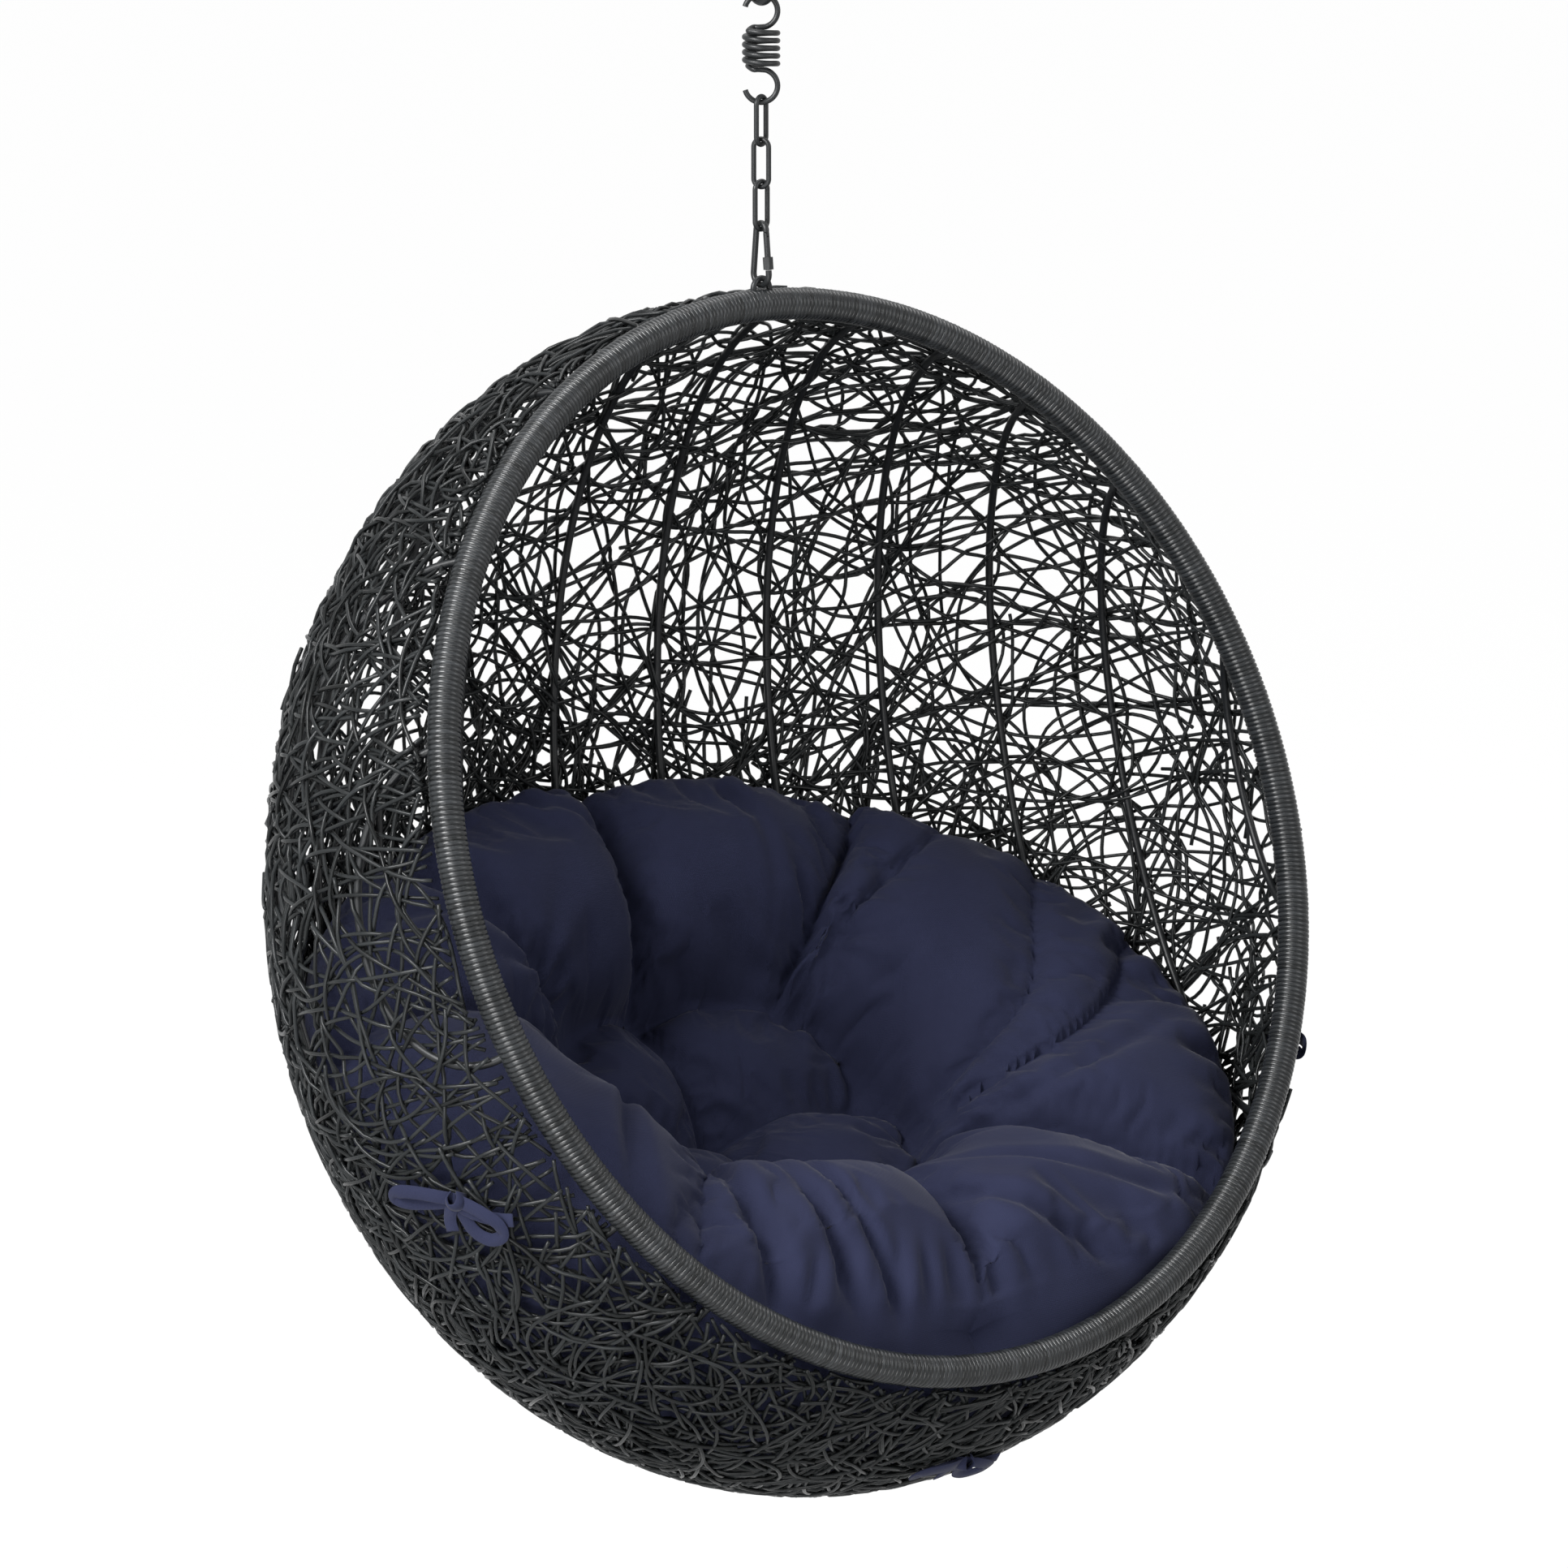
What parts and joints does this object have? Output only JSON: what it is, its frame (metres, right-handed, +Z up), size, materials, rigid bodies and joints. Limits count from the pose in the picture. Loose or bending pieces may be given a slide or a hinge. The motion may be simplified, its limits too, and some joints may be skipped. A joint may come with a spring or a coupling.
{
  "type": "hanging basket chair",
  "caption": "Hanging basket chair: a woven bowl on a leaning round rim with a tufted cushion, hung on a spring, chain and screw-gate carabiner from a ceiling eye.",
  "frame": {"origin": "centre of the ceiling face that the eye bolt's collar seats on", "axes": "+Z up along the shank, +X to the sitter's left, -Y the way the sitter faces"},
  "size_m": [1.161, 0.7075, 1.5057],
  "materials": {
    "hardware_coat": "black powder coat, satin",
    "frame_coat": "black powder coat, satin",
    "cane": "round synthetic cane, charcoal black, satin",
    "cushion_cloth": "navy woven polyester, padded and tufted",
    "tape": "navy woven tape"
  },
  "bodies": {
    "hanger": {"hanger_eye": "hardware_coat"},
    "spring": {"suspension_spring": "hardware_coat"},
    "link_1": {"chain_link_1": "hardware_coat"},
    "link_2": {"chain_link_2": "hardware_coat"},
    "link_3": {"chain_link_3": "hardware_coat"},
    "carabiner": {"carabiner_body": "hardware_coat", "carabiner_pin": "hardware_coat"},
    "gate": {"carabiner_gate": "hardware_coat"},
    "sleeve": {"carabiner_sleeve": "hardware_coat"},
    "basket": {"lifting_ring": "frame_coat", "rim_tube": "frame_coat", "rim_wrap": "cane", "rib_01": "frame_coat", "rib_02": "frame_coat", "rib_03": "frame_coat", "rib_04": "frame_coat", "rib_05": "frame_coat", "rib_06": "frame_coat", "rib_07": "frame_coat", "rib_08": "frame_coat", "rib_09": "frame_coat", "rib_10": "frame_coat", "rib_11": "frame_coat", "rib_12": "frame_coat", "rib_13": "frame_coat", "weave_shell": "cane", "cushion": "cushion_cloth", "tie_left": "tape", "tie_right": "tape", "tie_bottom": "tape"}
  },
  "joints": [
    {"name": "spring_swing", "type": "hinge", "parent": "hanger", "child": "spring", "pos_m": [0, 0, -0.038], "axis": [0, 1, 0], "range_deg": [-30, 30]},
    {"name": "spring_stretch", "type": "slide", "parent": "spring", "child": "link_1", "axis": [0, 0, -1], "range_m": [-0.004, 0.02], "stiffness_N_per_m": 57800, "springref_m": -0.00405, "deforming": ["suspension_spring"]},
    {"name": "link_1_swing", "type": "hinge", "parent": "link_1", "child": "link_2", "pos_m": [0, 0, -0.17455], "axis": [0.9703, 0.2419, 0], "range_deg": [-40, 40]},
    {"name": "link_2_swing", "type": "hinge", "parent": "link_2", "child": "link_3", "pos_m": [0, 0, -0.21525], "axis": [0.3746, -0.9272, 0], "range_deg": [-40, 40]},
    {"name": "link_3_swing", "type": "hinge", "parent": "link_3", "child": "carabiner", "pos_m": [0, 0, -0.25595], "axis": [0.9994, 0.0349, 0], "range_deg": [-40, 40]},
    {"name": "gate_open", "type": "hinge", "parent": "carabiner", "child": "gate", "pos_m": [0, -0.00745, -0.26145], "axis": [1, 0, 0], "range_deg": [0, 18], "stiffness_Nm_per_rad": 0.05, "springref_deg": -11.46},
    {"name": "sleeve_travel", "type": "slide", "parent": "gate", "child": "sleeve", "axis": [0, -0.0964, -0.9953], "range_m": [-0.008, 0.004]},
    {"name": "basket_turn", "type": "hinge", "parent": "carabiner", "child": "basket", "pos_m": [0, 0, -0.3065], "axis": [0, 0, 1], "range_deg": [-25, 25]}
  ]
}
